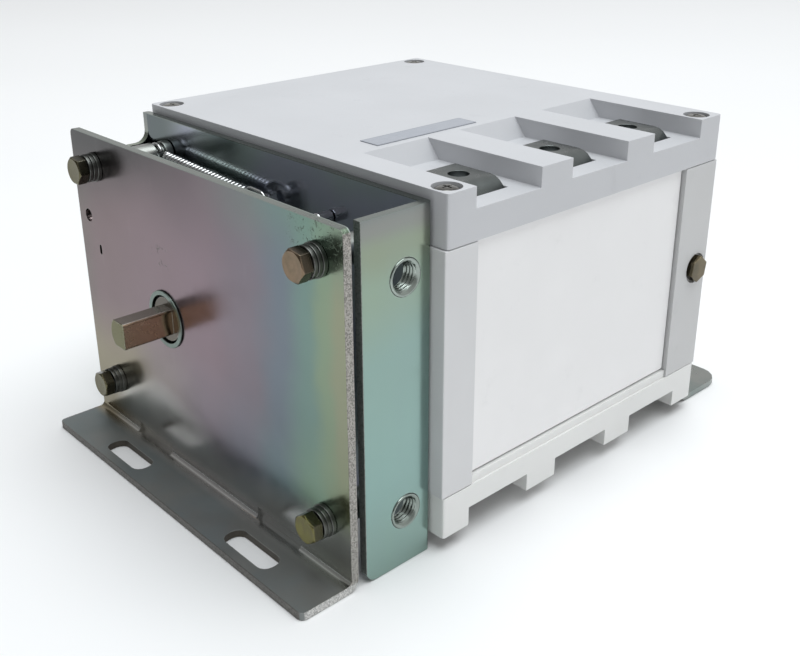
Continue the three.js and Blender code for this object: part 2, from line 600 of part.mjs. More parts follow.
// Extension spring: a loop round the grooved post, the coil, and a long loop on the lever's pin.
function detentSpring() {
  const from = new THREE.Vector3(-BOLT_X, SPRING_Y, BOLT_Z[1]);
  const to = new THREE.Vector3(LEVER.top[0], SPRING_Y, LEVER.top[1]);
  const along = to.clone().sub(from).normalize();
  const up = new THREE.Vector3(-along.z, 0, along.x);
  const length = from.distanceTo(to);
  const at = (distance, rise, side = 0) => from.clone()
    .addScaledVector(along, distance).addScaledVector(up, rise).add(new THREE.Vector3(0, side, 0));
  const [loop, coil, turns, steps] = [4.2, 2.4, 20, 10];
  const [coilStart, coilEnd] = [7.5, length - 8.5];
  const points = [];
  for (let degrees = 335; degrees >= 45; degrees -= 29) {
    const angle = THREE.MathUtils.degToRad(degrees - 360);
    points.push(at(loop * Math.cos(angle), -loop * Math.sin(angle)));
  }
  for (let i = 0; i <= turns * steps; i++) {
    const angle = (2 * Math.PI * i) / steps;
    const distance = coilStart + ((coilEnd - coilStart) * i) / (turns * steps);
    points.push(at(distance, coil * Math.cos(angle), coil * Math.sin(angle)));
  }
  const [bend, hook] = [length - 0.2, 2.6];
  points.push(at(coilEnd + 2, hook), at(bend - 1, hook));
  for (const degrees of [45, 0, -45, -90]) {
    const angle = THREE.MathUtils.degToRad(degrees);
    points.push(at(bend + hook * Math.cos(angle), hook * Math.sin(angle)));
  }
  points.push(at(bend - 2.5, -hook), at(bend - 5, -hook));
  const path = new THREE.CatmullRomCurve3(points, false, 'centripetal');
  const wire = polygon(arc(0, 0, 0.55, 0, 288, 4));
  const pathSteps = points.length - 1;
  return solid(new THREE.ExtrudeGeometry(wire, { extrudePath: path, steps: pathSteps, bevelEnabled: false }));
}

// ---- assembly ----
piece('top_cover', cover(1, CASE.top - COVER_TOP_Z), 'cover');
piece('bottom_cover', bottomCover(), 'cover');
piece('front_wall', frontWall(), 'wall');
piece('rear_wall', rearWall(), 'wall');
piece('side_panel_right', sidePanel(1), 'panel');
piece('side_panel_left', sidePanel(-1), 'panel');
piece('phase_barrier_front', phaseBarrier((POLES[0] + POLES[1]) / 2), 'barrier');
piece('phase_barrier_rear', phaseBarrier((POLES[1] + POLES[2]) / 2), 'barrier');
piece('blank_label', box(21, 30.7, -42.3, 9.5, CASE.top + 0.05, CASE.top + 0.3), 'label');
CORNERS.forEach(([x, y], i) => {
  piece(`top_cover_screw_${i + 1}`, coverScrew(1, x, y), 'bolt');
  piece(`bottom_cover_screw_${i + 1}`, coverScrew(-1, x, y), 'bolt');
});
POLES.forEach((y, i) => {
  piece(`line_terminal_${i + 1}`, terminal(1, y), 'terminal');
  piece(`load_terminal_${i + 1}`, terminal(-1, y), 'terminal');
  piece(`moving_contact_${i + 1}`, movingContact(y), 'copper');
  piece(`contact_carrier_${i + 1}`, contactCarrier(y), 'carrier');
});
piece('main_shaft', mainShaft(), 'steel');
piece('front_bearing', ringBearing(9.3, BEARING_RADIUS, 20, CASE.front, -58.5, -61.5), 'bearing');
piece('rear_bearing', ringBearing(5.3, 9, 12, CASE.back - 2.2, 82.4, 85.2), 'bearing');
piece('mechanism_channel', mechanismChannel(), 'zincGreen');
piece('front_plate', frontPlate(), 'zinc');
piece('shaft_bush', ringBearing(9.8, 10.8, 11.7, -98.6, PLATE_FRONT - 0.8, PLATE_FRONT - 0.1), 'bright');
BOLT_Z.forEach((z, row) => [-BOLT_X, BOLT_X].forEach((x, column) => {
  const number = 2 * row + column + 1;
  piece(`plate_bolt_${number}`, plateBolt(x, z, BOLT.turns[number - 1]), 'bolt');
  piece(`plate_washer_${number}`, plateWasher(x, z), 'bolt');
  piece(`standoff_post_${number}`, standoffPost(x, z, number === 3), 'bright');
}));
NUT.z.forEach((z, i) => piece(`press_nut_${i + 1}`, pressNut(z), 'bright'));
piece('detent_wheel', detentWheel(), 'steel');
piece('detent_lever', detentLever(), 'bright');
piece('detent_roller', detentRoller(), 'bright');
piece('lever_pivot_pin', pivotPin(), 'bright');
piece('stop_stud', stopStud(), 'bright');
piece('detent_spring', detentSpring(), 'bright');
piece('rear_foot', rearFoot(), 'foot');
[[-1, 'left'], [1, 'right']].forEach(([side, word]) => {
  piece(`foot_screw_${word}`, footScrew(side), 'bolt');
  piece(`side_bolt_${word}`, sideBolt(side), 'bolt');
});

export default group;
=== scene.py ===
"""Looks of the rotary isolating switch: pieces, finishes, floor, light and camera."""

import json
import math

import bmesh
import bpy
from mathutils import Matrix, Vector


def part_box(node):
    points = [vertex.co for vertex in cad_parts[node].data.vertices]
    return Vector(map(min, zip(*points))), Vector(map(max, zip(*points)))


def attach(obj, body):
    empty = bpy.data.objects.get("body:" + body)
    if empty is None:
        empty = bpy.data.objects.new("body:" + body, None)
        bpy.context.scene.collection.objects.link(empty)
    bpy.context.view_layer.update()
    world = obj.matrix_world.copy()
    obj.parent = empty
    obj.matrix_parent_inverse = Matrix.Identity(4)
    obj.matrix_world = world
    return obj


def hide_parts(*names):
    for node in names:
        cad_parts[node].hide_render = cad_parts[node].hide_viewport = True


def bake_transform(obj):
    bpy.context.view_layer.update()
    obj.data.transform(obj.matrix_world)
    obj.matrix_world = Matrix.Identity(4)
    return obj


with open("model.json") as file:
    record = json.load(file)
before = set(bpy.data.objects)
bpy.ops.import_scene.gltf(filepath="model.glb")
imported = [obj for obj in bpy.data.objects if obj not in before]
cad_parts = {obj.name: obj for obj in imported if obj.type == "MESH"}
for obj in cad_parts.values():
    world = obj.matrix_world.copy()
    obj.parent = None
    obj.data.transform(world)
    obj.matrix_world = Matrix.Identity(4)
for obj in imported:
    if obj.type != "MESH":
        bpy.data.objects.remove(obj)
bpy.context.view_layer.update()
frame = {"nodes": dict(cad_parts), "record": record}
nodes = frame["nodes"]
scene = bpy.context.scene

MM = 0.001
# In metres
SHEET = 0.003             # channel, plate and foot thickness
SKIN = 0.00025            # depth of a finish that belongs to one face only
TONGUE_TOP = 0.0713       # height of the drive tongue's upper flat
FLOOR_Z = -0.0002         # just under the feet
# In millimetres
HEAD_FLATS = 10           # bolt heads across flats
HEAD_LIFT = 0.1           # a head stands this far off its washer
SHANK = 2.9               # bolt shank radius
SCREW_SHANK = 2.4         # cover and foot screw shank radius
FLAT_WASHER = 1.6         # thickness of one flat washer
WASHER_BORE = 3.2         # radius
WASHER_RADII = (5.9, 5.6)                     # rear and front flat washer
NUT_SHOULDER = 80.3       # x of the step between a press nut's body and its neck
SPRING_Y = -75            # the spring's plane
LEVER_HOOK = (3.0, SPRING_Y, 114.0)           # where the spring holds the lever
# In degrees
BOLT_TURNS = {1: 17, 2: 34, 3: 51, 4: -9}     # how far each head is turned


# ---------------------------------------------------------------- mesh helpers
def mesh_object(name, verts, faces, smooth=True):
    """A mesh object from points in millimetres and lists of point numbers."""
    mesh = bpy.data.meshes.new(name)
    mesh.from_pydata([Vector(v) * MM for v in verts], [], faces)
    mesh.validate()
    work = bmesh.new()
    work.from_mesh(mesh)
    bmesh.ops.remove_doubles(work, verts=work.verts, dist=1e-7)
    bmesh.ops.recalc_face_normals(work, faces=work.faces)
    work.to_mesh(mesh)
    work.free()
    for face in mesh.polygons:
        face.use_smooth = smooth
    made = bpy.data.objects.new(name, mesh)
    scene.collection.objects.link(made)
    return made


def along(axis, centre, u, v, h):
    """A point given across an axis (u, v) and along it (h), round a centre, in millimetres."""
    x, y, z = centre
    if axis == "x":
        return (x + h, y + u, z + v)
    if axis == "y":
        return (x + u, y + h, z + v)
    return (x + u, y + v, z + h)


def turned(name, profile, axis, centre, segments=64, radius_at=None, closed=False):
    """A solid of revolution from rows of (radius, height); radius_at may change a ring's points."""
    verts = []
    faces = []
    for row, (radius, height) in enumerate(profile):
        for k in range(segments):
            angle = 2 * math.pi * k / segments
            r, h = radius_at(row, angle, radius, height) if radius_at else (radius, height)
            verts.append(along(axis, centre, r * math.cos(angle), r * math.sin(angle), h))
    rows = len(profile)
    for row in range(rows if closed else rows - 1):
        for k in range(segments):
            a = row * segments + k
            b = row * segments + (k + 1) % segments
            up = ((row + 1) % rows) * segments
            faces.append((a, b, up + (k + 1) % segments, up + k))
    if not closed:
        faces.append(tuple(range(segments)))
        faces.append(tuple((rows - 1) * segments + k for k in range(segments)))
    return mesh_object(name, verts, faces)


def tube(name, path, radius, sides=10):
    """A round wire along a list of points in millimetres."""
    points = [Vector(p) for p in path]
    verts = []
    faces = []
    across = None
    for i, point in enumerate(points):
        ahead = points[min(i + 1, len(points) - 1)] - points[max(i - 1, 0)]
        ahead.normalize()
        if across is None:
            across = ahead.orthogonal().normalized()
        across = (across - ahead * across.dot(ahead)).normalized()
        other = ahead.cross(across)
        for k in range(sides):
            angle = 2 * math.pi * k / sides
            verts.append(point + radius * (math.cos(angle) * across + math.sin(angle) * other))
    for i in range(len(points) - 1):
        for k in range(sides):
            a = i * sides + k
            b = i * sides + (k + 1) % sides
            faces.append((a, b, b + sides, a + sides))
    faces.append(tuple(range(sides)))
    faces.append(tuple((len(points) - 1) * sides + k for k in range(sides)))
    return mesh_object(name, verts, faces)


def bevel(obj, width, segments=2, angle=35):
    """Rounded edges on an object, in millimetres, with even shading on its flat faces."""
    step = obj.modifiers.new("edges", "BEVEL")
    step.width = width * MM
    step.segments = segments
    step.limit_method = "ANGLE"
    step.angle_limit = math.radians(angle)
    step.miter_outer = "MITER_ARC"
    step.use_clamp_overlap = True
    obj.modifiers.new("shading", "WEIGHTED_NORMAL").keep_sharp = False


def clean_group():
    """Geometry nodes that merge doubled points and make every face smooth."""
    group = bpy.data.node_groups.new("clean", "GeometryNodeTree")
    group.interface.new_socket("Geometry", in_out="INPUT", socket_type="NodeSocketGeometry")
    group.interface.new_socket("Geometry", in_out="OUTPUT", socket_type="NodeSocketGeometry")
    start = group.nodes.new("NodeGroupInput")
    merge = group.nodes.new("GeometryNodeMergeByDistance")
    merge.inputs["Distance"].default_value = 1e-5
    shade = group.nodes.new("GeometryNodeSetShadeSmooth")
    end = group.nodes.new("NodeGroupOutput")
    group.links.new(start.outputs[0], merge.inputs["Geometry"])
    group.links.new(merge.outputs["Geometry"], shade.inputs["Geometry"])
    group.links.new(shade.outputs["Geometry"], end.inputs[0])
    return group


CLEAN = clean_group()


def soften(name, width, segments):
    """A CAD node keeps its mesh and gets merged points, whole flat faces and rounded edges."""
    obj = nodes[name]
    obj.modifiers.new("clean", "NODES").node_group = CLEAN
    flat = obj.modifiers.new("flat", "DECIMATE")
    flat.decimate_type = "DISSOLVE"
    flat.angle_limit = math.radians(1.2)
    bevel(obj, width, segments)


# ---------------------------------------------------------------- material helpers
def srgb(text):
    """A colour such as '8D7E83' as linear values."""
    values = [int(text[i:i + 2], 16) / 255 for i in (0, 2, 4)]
    return [v / 12.92 if v <= 0.04045 else ((v + 0.055) / 1.055) ** 2.4 for v in values] + [1.0]


def scaled(colour, gain):
    """A brighter or darker colour."""
    return [min(1.0, c * gain) for c in colour[:3]] + [1.0]


class Look:
    """A node material under construction. Places are in metres in the object's own frame."""

    def __init__(self, name):
        self.material = bpy.data.materials.new(name)
        self.material.use_nodes = True
        self.tree = self.material.node_tree
        self.tree.nodes.clear()
        self.shader = self.add("BsdfPrincipled")
        output = self.add("OutputMaterial")
        self.tree.links.new(self.shader.outputs["BSDF"], output.inputs["Surface"])
        self.place = self.add("TexCoord").outputs["Object"]
        self.height = None

    def add(self, kind, settings=None, **inputs):
        """A new node; inputs are given by socket name, with _ for a space."""
        made = self.tree.nodes.new("ShaderNode" + kind)
        for key, value in (settings or {}).items():
            setattr(made, key, value)
        for key, value in inputs.items():
            self.put(made.inputs[key.replace("_", " ")], value)
        return made

    def put(self, socket, value):
        """Link a socket to another one, or set it to a plain value."""
        if isinstance(value, bpy.types.NodeSocket):
            self.tree.links.new(value, socket)
        else:
            socket.default_value = value

    def math(self, operation, a, b):
        made = self.add("Math", {"operation": operation})
        self.put(made.inputs[0], a)
        self.put(made.inputs[1], b)
        return made.outputs[0]

    def stretched(self, scale, turn=(0, 0, 0)):
        """Places scaled per axis and turned by degrees, for grain that runs one way."""
        made = self.add("Mapping", Vector=self.place)
        made.inputs["Scale"].default_value = scale
        made.inputs["Rotation"].default_value = [math.radians(a) for a in turn]
        return made.outputs[0]

    def noise(self, scale, detail=3.0, roughness=0.5, place=None, distortion=0.0):
        made = self.add("TexNoise", Scale=scale, Detail=detail, Roughness=roughness,
                        Distortion=distortion)
        self.put(made.inputs["Vector"], place or self.place)
        return made.outputs["Fac"]

    def window(self, value, low, high, to_low=0.0, to_high=1.0):
        """A smooth step from to_low to to_high as the value goes from low to high."""
        settings = {"clamp": True, "interpolation_type": "SMOOTHSTEP"}
        made = self.add("MapRange", settings, Value=value)
        ends = {"From Min": low, "From Max": high, "To Min": to_low, "To Max": to_high}
        for key, number in ends.items():
            self.put(made.inputs[key], number)
        return made.outputs[0]

    def ramp(self, value, stops):
        """A colour from stops of (position, colour)."""
        made = self.add("ValToRGB", Fac=value)
        band = made.color_ramp
        band.interpolation = "EASE"
        while len(band.elements) < len(stops):
            band.elements.new(0.5)
        for element, (position, colour) in zip(band.elements, stops):
            element.position = position
            element.color = colour
        return made.outputs["Color"]

    def mix(self, amount, a, b):
        """Colour a where amount is 0 and b where it is 1."""
        made = self.add("Mix", {"data_type": "RGBA"})
        self.put(made.inputs[0], amount)
        self.put(made.inputs[6], a)
        self.put(made.inputs[7], b)
        return made.outputs[2]

    def axis(self, letter):
        parts = self.add("SeparateXYZ", Vector=self.place)
        return parts.outputs[letter]

    def step_above(self, letter, limit, soft=0.0001):
        return self.window(self.axis(letter), limit - soft, limit + soft)

    def step_below(self, letter, limit, soft=0.0001):
        return self.window(self.axis(letter), limit - soft, limit + soft, 1.0, 0.0)

    def times(self, *masks):
        """The product of masks and numbers."""
        value = masks[0]
        for mask in masks[1:]:
            value = self.math("MULTIPLY", value, mask)
        return value

    def band(self, letter, start, full, fade, end):
        """1 from full to fade along an axis, falling to 0 at start and end."""
        rise = self.window(self.axis(letter), start, full)
        return self.times(rise, self.window(self.axis(letter), fade, end, 1.0, 0.0))

    def around(self, value, span):
        """A value from 0 to 1 becomes a small shift to either side of 0."""
        return self.math("MULTIPLY", self.math("SUBTRACT", value, 0.5), span)

    def edge(self, radius, strength=1.0):
        """1 along sharp edges, broken up by fine noise, and 0 on flat faces."""
        rounded = self.add("Bevel", {"samples": 6}, Radius=radius)
        normal = self.add("NewGeometry").outputs["Normal"]
        dot = self.add("VectorMath", {"operation": "DOT_PRODUCT"})
        self.put(dot.inputs[0], rounded.outputs["Normal"])
        self.put(dot.inputs[1], normal)
        mask = self.window(dot.outputs["Value"], 0.8, 0.995, strength, 0.0)
        broken = self.window(self.noise(420, 4, 0.6), 0.35, 0.6, 0.35, 1.0)
        return self.math("MULTIPLY", mask, broken)

    def bump(self, height, strength, distance):
        """Add a layer of bump on top of the ones before it."""
        made = self.add("Bump", Strength=strength, Distance=distance, Height=height)
        if self.height is not None:
            self.tree.links.new(self.height, made.inputs["Normal"])
        self.height = made.outputs["Normal"]

    def done(self, colour, roughness, metallic=0.0, **extra):
        """Finish the material; extra are constant shader inputs."""
        self.put(self.shader.inputs["Base Color"], colour)
        self.put(self.shader.inputs["Roughness"], roughness)
        self.put(self.shader.inputs["Metallic"], metallic)
        for key, value in extra.items():
            self.shader.inputs[key.replace("_", " ")].default_value = value
        if self.height is not None:
            self.tree.links.new(self.height, self.shader.inputs["Normal"])
        return self.material


# ---------------------------------------------------------------- finishes
def moulding(name, colour, roughness, grain=0.12):
    """Moulded plastic: faint flow clouds, fine satin grain, a little handling dirt, and paler edges,
    partly rubbed and partly a painted highlight.
    """
    look = Look(name)
    clouds = look.window(look.noise(16, 3, 0.55), 0.3, 0.7)
    flow = look.window(look.noise(30, 2, 0.5, look.stretched((0.4, 2.2, 1.0))), 0.3, 0.7)
    tone = look.mix(clouds, scaled(colour, 0.965), scaled(colour, 1.025))
    tone = look.mix(look.times(flow, 0.35), tone, scaled(colour, 0.975))
    dirt = look.window(look.noise(75, 5, 0.65), 0.60, 0.78)
    tone = look.mix(look.times(dirt, 0.10), tone, scaled(colour, 0.55))
    # Edges are paler and smoother, partly from rubbing and partly a painted highlight.
    rubbed_and_highlit_edges = look.edge(0.0009, 0.5)
    tone = look.mix(rubbed_and_highlit_edges, tone, scaled(colour, 1.09))
    fine = look.noise(2400, 2, 0.5)
    look.bump(fine, grain, 0.00004)
    look.bump(look.noise(60, 2, 0.5), 0.05, 0.0006)
    rough = look.math("ADD", look.window(fine, 0.2, 0.8, roughness - 0.05, roughness + 0.05),
                      look.times(dirt, 0.12))
    rough = look.math("SUBTRACT", rough, look.times(rubbed_and_highlit_edges, 0.12))
    return look.done(tone, rough, 0.0, Specular_IOR_Level=0.45)


def plated(name, colour, roughness, second, edge_wear_and_highlight=1.25):
    """Plated metal, cloudy between two tones: fine scratches, slight waves, and brighter edges,
    partly wear and partly a painted highlight.
    """
    look = Look(name)
    clouds = look.window(look.noise(55, 4, 0.6, distortion=0.4), 0.32, 0.68)
    tone = look.mix(clouds, colour, second)
    lines = look.noise(260, 3, 0.6, look.stretched((0.25, 3.2, 3.2), (0, 12, 0)))
    marks = look.window(lines, 0.66, 0.74)
    tone = look.mix(look.times(marks, 0.35), tone, scaled(colour, 1.3))
    # Edges are paler, partly wear and partly a painted highlight.
    worn_and_highlit_edge = look.edge(0.0006, 0.9)
    tone = look.mix(worn_and_highlit_edge, tone, scaled(colour, edge_wear_and_highlight))
    look.bump(look.noise(70, 2, 0.5), 0.04, 0.0008)
    look.bump(lines, 0.048, 0.00003)
    look.bump(look.noise(1900, 2, 0.6), 0.05, 0.00004)
    rough = look.window(look.noise(120, 4, 0.6), 0.3, 0.7, roughness * 0.82, roughness * 1.2)
    rough = look.math("ADD", rough, look.times(marks, 0.08))
    return look.done(tone, rough, 1.0)


def shaft_film(end, tongue_top, collar):
    """Ground steel with a brown film; its end face is olive. The tongue's upper flat is paler and
    partly diffuse as painted light, the collar behind the plate is painted dark as painted shade,
    and the edges carry a painted highlight.
    """
    look = Look("shaft_film")
    clouds = look.window(look.noise(60, 4, 0.6, distortion=0.4), 0.32, 0.68)
    tone = look.mix(clouds, srgb("B39A80"), srgb("A5896F"))
    lines = look.noise(240, 3, 0.6, look.stretched((5.0, 0.25, 5.0)))
    marks = look.window(lines, 0.62, 0.72)
    tone = look.mix(look.times(marks, 0.4), tone, srgb("B9AA9A"))
    # The tongue's upper flat is painted paler and made partly diffuse, painted light for its lit
    # top.
    top = look.step_above("Z", tongue_top - 0.0003)
    tone = look.mix(top, tone, srgb("ADA59C"))
    # Behind the plate's front face the shaft is painted dark, a painted shade inside the plate's
    # hole.
    tone = look.mix(look.step_above("Y", collar - 0.0002), tone, srgb("5E584F"))
    tone = look.mix(look.step_below("Y", end + 0.0003), tone, srgb("62603F"))
    # The shaft's edges are painted near-white, a painted highlight.
    tone = look.mix(look.edge(0.0006, 1.0), tone, srgb("E6E3DE"))
    look.bump(lines, 0.06, 0.00003)
    look.bump(look.noise(80, 2, 0.5), 0.05, 0.0006)
    rough = look.window(look.noise(120, 4, 0.6), 0.3, 0.7, 0.20, 0.30)
    return look.done(tone, rough, look.math("SUBTRACT", 1.0, look.times(top, 0.28)))


def head_film(front):
    """Bolt heads: olive to brown front faces, sides painted dark as painted shade, and crests
    between them painted bright as a painted highlight.
    """
    look = Look("bolt_head_film")
    right = look.window(look.axis("X"), -0.02, 0.02)
    upper = look.window(look.axis("Z"), 0.06, 0.08)
    tone = look.mix(upper, srgb("757143"), srgb("7F6D5A"))
    tone = look.mix(right, srgb("66624A"), tone)
    clouds = look.window(look.noise(260, 4, 0.6, distortion=0.4), 0.35, 0.65)
    tone = look.mix(look.times(clouds, 0.45), tone, srgb("5A5443"))
    # The head's sides are painted dark, a painted shade.
    side = look.step_above("Y", front + 0.0006, 0.0002)
    tone = look.mix(look.times(side, 0.8), tone, srgb("3A3932"))
    # The crests are painted pale, a painted highlight.
    tone = look.mix(look.edge(0.0005, 1.0), tone, srgb("D8D4CC"))
    look.bump(look.noise(160, 3, 0.5), 0.10, 0.0004)
    look.bump(look.noise(1500, 2, 0.6), 0.06, 0.00004)
    return look.done(tone, look.window(look.noise(140, 4, 0.6), 0.3, 0.7, 0.18, 0.30), 1.0)


def board(name):
    """Pressed insulating board: flecked brown fibre."""
    look = Look(name)
    fleck = look.window(look.noise(900, 5, 0.7, look.stretched((1, 1, 0.3))), 0.35, 0.65)
    tone = look.mix(fleck, srgb("8A7A63"), srgb("6B5A45"))
    tone = look.mix(look.edge(0.0005, 0.6), tone, srgb("A4967F"))
    look.bump(fleck, 0.2, 0.00006)
    return look.done(tone, look.window(fleck, 0, 1, 0.55, 0.75))


def film_label(low, high):
    """A blank silver-grey film label with a thin darker border line and a faint brushed grain."""
    look = Look("label_film")
    brushed = look.noise(1400, 2, 0.6, look.stretched((6, 0.12, 1)))
    tone = look.mix(look.window(brushed, 0.3, 0.7), srgb("9CA0A8"), srgb("ADB1B9"))
    margin = None
    for letter, a, b in (("X", low.x, high.x), ("Y", low.y, high.y)):
        for side in (look.step_below(letter, a + 0.0006), look.step_above(letter, b - 0.0006)):
            margin = side if margin is None else look.math("MAXIMUM", margin, side)
    tone = look.mix(look.times(margin, 0.5), tone, srgb("868A93"))
    look.bump(brushed, 0.05, 0.00003)
    return look.done(tone, look.window(look.noise(90, 3, 0.5), 0.3, 0.7, 0.34, 0.46), 0.15)


def cut_edge_speckle(look, tone, rough, mask, pale, dark=0.62):
    """Sheared edges: bright torn metal with darker pits, over the given colour and roughness."""
    pits = look.window(look.noise(1700, 4, 0.7), 0.40, 0.58)
    torn = look.mix(pits, scaled(pale, dark), pale)
    tone = look.mix(mask, tone, torn)
    look.bump(look.times(pits, mask), 0.4, 0.00012)
    rough = look.mix(mask, rough, (0.42, 0.42, 0.42, 1.0))
    return tone, rough


def passivated_plate(box_low, box_high):
    """The front plate's zinc film, from khaki and mauve through blue-grey to green and straw."""
    look = Look("plate_zinc_film")
    width = box_high.x - box_low.x
    warp = look.around(look.noise(9, 2, 0.5), 0.20)
    fine = look.around(look.noise(48, 3, 0.6), 0.05)
    across = look.math("DIVIDE", look.math("SUBTRACT", look.axis("X"), box_low.x), width)
    across = look.math("ADD", look.math("ADD", across, warp), fine)
    upper = look.ramp(across, [
        (0.00, srgb("736A67")), (0.10, srgb("7A6A6C")), (0.34, srgb("807075")),
        (0.55, srgb("83737A")), (0.71, srgb("7B737B")), (0.81, srgb("6F7881")),
        (0.90, srgb("728A83")), (0.955, srgb("83947D")), (1.00, srgb("8E927B"))])
    lower = look.ramp(across, [
        (0.00, srgb("8A826D")), (0.16, srgb("8F8774")), (0.30, srgb("8E8583")),
        (0.52, srgb("8B828A")), (0.68, srgb("82838D")), (0.80, srgb("7A8C90")),
        (0.91, srgb("86A08B")), (1.00, srgb("939C80"))])
    height = look.math("ADD", look.axis("Z"), look.times(warp, 0.25))
    tone = look.mix(look.window(height, 0.028, 0.066), lower, upper)
    # Near the bend the film is a paler grey.
    base = look.times(look.window(height, 0.016, 0.032, 1.0, 0.0), look.window(across, 0.06, 0.18))
    tone = look.mix(look.times(base, 0.8), tone, srgb("C8C8C5"))
    # The film thins to dark grey towards the upper left.
    thin = look.times(look.window(height, 0.092, 0.128), look.window(across, 0.15, 0.85, 1.0, 0.0))
    tone = look.mix(look.times(thin, 0.92), tone, srgb("474848"))
    # The foot flange and the bend are greyer, the unseen rear face is paler and duller.
    flange = look.window(look.axis("Y"), box_low.y + 0.0150, box_low.y + 0.0205, 1.0, 0.0)
    grey = look.mix(look.window(look.noise(24, 3, 0.6), 0.35, 0.65), srgb("82898A"), srgb("898A87"))
    # Towards its left end the flange is painted darker, a painted shade.
    grey = look.mix(look.window(across, 0.10, 0.20, 0.6, 0.0), grey, srgb("6F7878"))
    tone = look.mix(flange, tone, grey)
    rear = look.step_above("Y", box_high.y - 0.0004)
    tone = look.mix(rear, tone, srgb("C4C8C6"))
    # A green cast along the top edge, strongest at the right corner.
    corner = look.times(look.window(height, 0.106, 0.130), look.window(across, 0.45, 0.95))
    tone = look.mix(look.times(corner, 0.6), tone, srgb("728C7E"))
    # Scuffs near the upper right bolt and above the shaft.
    scuffs = look.window(look.noise(330, 5, 0.75, distortion=1.2), 0.56, 0.64)
    near_bolt = look.times(
        look.window(look.axis("X"), 0.052, 0.066), look.window(look.axis("Z"), 0.113, 0.122))
    over_shaft = look.times(
        look.band("Z", 0.085, 0.090, 0.094, 0.098), look.band("X", -0.034, -0.028, -0.022, -0.018))
    scuffs = look.times(scuffs, look.math("MAXIMUM", near_bolt, over_shaft))
    tone = look.mix(look.times(scuffs, 0.6), tone, srgb("5A6358"))
    lines = look.noise(150, 3, 0.6, look.stretched((4.0, 1.0, 0.22), (0, 5, 0)))
    marks = look.window(lines, 0.70, 0.76)
    tone = look.mix(look.times(marks, 0.12), tone, srgb("B9B4B4"))
    # Edges are paler, partly wear and partly a painted highlight.
    worn_and_highlit_edge = look.edge(0.0005, 0.8)
    tone = look.mix(worn_and_highlit_edge, tone, srgb("A8A7A2"))
    rough = look.window(look.noise(70, 4, 0.6), 0.3, 0.7, 0.19, 0.27)
    for mask, duller in ((scuffs, 0.25), (rear, 0.35), (flange, 0.27)):
        rough = look.math("ADD", rough, look.times(mask, duller))
    look.bump(look.noise(22, 2, 0.5), 0.035, 0.0015)
    look.bump(look.noise(1500, 2, 0.6), 0.04, 0.00004)
    look.bump(scuffs, 0.35, 0.0002)
    # The walls of the foot's slots are painted dark, a painted shade inside the slots.
    shaded_slot_walls = look.times(
        look.step_below("Z", SHEET - 0.0003), look.step_above("Y", box_low.y + 0.002), flange)
    tone = look.mix(shaded_slot_walls, tone, srgb("56524B"))
    right_cut = look.step_above("X", box_high.x - SKIN)
    left_cut = look.step_below("X", box_low.x + SKIN)
    sides = look.math("MAXIMUM", right_cut, left_cut)
    top = look.step_above("Z", box_high.z - SKIN)
    tone = look.mix(top, tone, srgb("7A817B"))
    front = look.step_below("Y", box_low.y + SKIN)
    tone, rough = cut_edge_speckle(look, tone, rough, sides, srgb("B4B0AA"), 0.42)
    end = look.times(sides, look.step_below("Z", SHEET + 0.0002))
    tone, rough = cut_edge_speckle(look, tone, rough, end, srgb("E2E1DE"), 0.5)
    tone, rough = cut_edge_speckle(look, tone, rough, front, srgb("75736F"), 0.6)
    metal = look.math("SUBTRACT", 1.0, look.times(rear, 0.85))
    metal = look.math("SUBTRACT", metal, look.times(flange, 0.18))
    return look.done(tone, rough, metal)


def passivated_channel(box_low, box_high):
    """The channel's film: mauve-grey at the top, then yellow-green, then blue-green below."""
    look = Look("channel_zinc_film")
    warp = look.around(look.noise(14, 2, 0.5), 0.022)
    height = look.math("DIVIDE", look.math("ADD", look.axis("Z"), warp), box_high.z)
    tone = look.ramp(height, [
        (0.00, srgb("8BA199")), (0.10, srgb("8EA79F")), (0.30, srgb("8AA6A0")),
        (0.62, srgb("8BA49D")), (0.80, srgb("90A292")), (0.90, srgb("8E9885")),
        (0.955, srgb("8A8B86")), (1.00, srgb("7E8280"))])
    within = SHEET - 0.0001
    inner = look.times(
        look.step_below("X", box_high.x - within), look.step_above("X", box_low.x + within))
    inside = look.ramp(look.noise(16, 2, 0.5), [
        (0.35, srgb("A9B4B2")), (0.52, srgb("A8ABBA")), (0.68, srgb("A5B2B0"))])
    # Inside, the channel is painted darker towards the left, a painted shade deep in the channel.
    left = look.window(look.axis("X"), -0.078, -0.040, 1.0, 0.0)
    inside = look.mix(look.times(left, 0.85), inside, srgb("444A49"))
    tone = look.mix(inner, tone, inside)
    streak = look.window(look.noise(60, 3, 0.6, look.stretched((1.0, 1.0, 0.2))), 0.35, 0.65)
    tone = look.mix(look.times(streak, 0.10), tone, srgb("8A9AA0"))
    # Edges are paler, partly wear and partly a painted highlight.
    worn_and_highlit_edge = look.edge(0.0005, 0.9)
    tone = look.mix(worn_and_highlit_edge, tone, srgb("A9B0AD"))
    scuffs = look.window(look.noise(260, 5, 0.75, distortion=0.8), 0.66, 0.74)
    tone = look.mix(look.times(scuffs, 0.25), tone, srgb("6C7672"))
    rough = look.window(look.noise(60, 4, 0.6), 0.3, 0.7, 0.17, 0.24)
    rough = look.mix(inner, rough, (0.17, 0.17, 0.17, 1.0))
    look.bump(look.noise(20, 2, 0.5), 0.035, 0.0015)
    look.bump(look.noise(1500, 2, 0.6), 0.04, 0.00004)
    top = look.step_above("Z", box_high.z - SKIN)
    tone = look.mix(top, tone, srgb("7C847F"))
    front = look.step_below("Y", box_low.y + SKIN)
    tone, rough = cut_edge_speckle(look, tone, rough, front, srgb("8E928E"))
    return look.done(tone, rough, 1.0)


plate_low, plate_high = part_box("front_plate")
channel_low, channel_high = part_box("mechanism_channel")
label_low, label_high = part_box("blank_label")
plate_front = plate_high.y - SHEET
